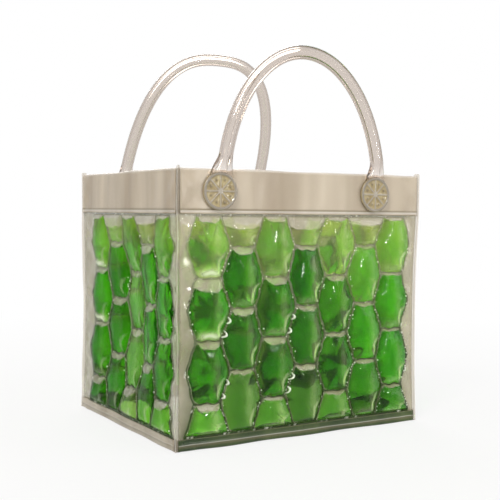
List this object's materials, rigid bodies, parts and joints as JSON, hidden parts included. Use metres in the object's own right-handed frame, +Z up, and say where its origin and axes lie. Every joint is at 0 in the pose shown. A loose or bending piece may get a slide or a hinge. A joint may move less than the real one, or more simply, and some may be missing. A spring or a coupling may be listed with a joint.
{
  "type": "bottle cooler bag",
  "caption": "Open box-shaped bag of clear vinyl with gel-filled honeycomb walls, a frosted mouth band, welded corner seams, side gussets and bendable clear tube handles, for chilling bottles.",
  "frame": {"origin": "centre of the foot, on the plane the bag stands on", "axes": "+X along the front to the right, +Y from the front to the back, +Z up"},
  "size_m": [0.2074, 0.1877, 0.2842],
  "materials": {
    "clear_vinyl": "clear soft film",
    "frosted_vinyl": "frosted soft film",
    "green_gel": "tinted clear gel",
    "clear_tube": "clear soft tube"
  },
  "bodies": {
    "root": {"front_outer_film": "clear_vinyl", "front_inner_film": "clear_vinyl", "front_top_band": "frosted_vinyl", "front_base_hem": "frosted_vinyl", "front_gel_column_1": "green_gel", "front_gel_column_2": "green_gel", "front_gel_column_3": "green_gel", "front_gel_column_4": "green_gel", "front_gel_column_5": "green_gel", "front_gel_column_6": "green_gel", "front_gel_column_7": "green_gel", "right_outer_film": "clear_vinyl", "right_inner_film": "clear_vinyl", "right_top_band": "frosted_vinyl", "right_base_hem": "frosted_vinyl", "right_gel_column_1": "green_gel", "right_gel_column_2": "green_gel", "right_gel_column_3": "green_gel", "right_gel_column_4": "green_gel", "right_gel_column_5": "green_gel", "back_outer_film": "clear_vinyl", "back_inner_film": "clear_vinyl", "back_top_band": "frosted_vinyl", "back_base_hem": "frosted_vinyl", "back_gel_column_1": "green_gel", "back_gel_column_2": "green_gel", "back_gel_column_3": "green_gel", "back_gel_column_4": "green_gel", "back_gel_column_5": "green_gel", "back_gel_column_6": "green_gel", "back_gel_column_7": "green_gel", "left_outer_film": "clear_vinyl", "left_inner_film": "clear_vinyl", "left_top_band": "frosted_vinyl", "left_base_hem": "frosted_vinyl", "left_gel_column_1": "green_gel", "left_gel_column_2": "green_gel", "left_gel_column_3": "green_gel", "left_gel_column_4": "green_gel", "left_gel_column_5": "green_gel", "front_left_corner_seam": "frosted_vinyl", "front_right_corner_seam": "frosted_vinyl", "back_right_corner_seam": "frosted_vinyl", "back_left_corner_seam": "frosted_vinyl", "bottom_panel": "clear_vinyl", "front_left_handle_neck": "clear_tube", "front_left_weld_disc": "clear_tube", "front_right_handle_neck": "clear_tube", "front_right_weld_disc": "clear_tube", "back_left_handle_neck": "clear_tube", "back_left_weld_disc": "clear_tube", "back_right_handle_neck": "clear_tube", "back_right_weld_disc": "clear_tube"},
    "front_handle": {"front_handle_tube": "clear_tube"},
    "back_handle": {"back_handle_tube": "clear_tube"}
  },
  "joints": [
    {"name": "front_handle_bend", "type": "hinge", "parent": "root", "child": "front_handle", "pos_m": [-0.0066, -0.0897, 0.1895], "axis": [1, 0, 0], "range_deg": [-70, 150], "stiffness_Nm_per_rad": 0.04, "deforming": ["front_left_handle_neck", "front_right_handle_neck"]},
    {"name": "back_handle_bend", "type": "hinge", "parent": "root", "child": "back_handle", "pos_m": [0.003, 0.0897, 0.1895], "axis": [-1, 0, 0], "range_deg": [-46, 174], "stiffness_Nm_per_rad": 0.04, "springref_deg": 5.73, "deforming": ["back_left_handle_neck", "back_right_handle_neck"]}
  ]
}
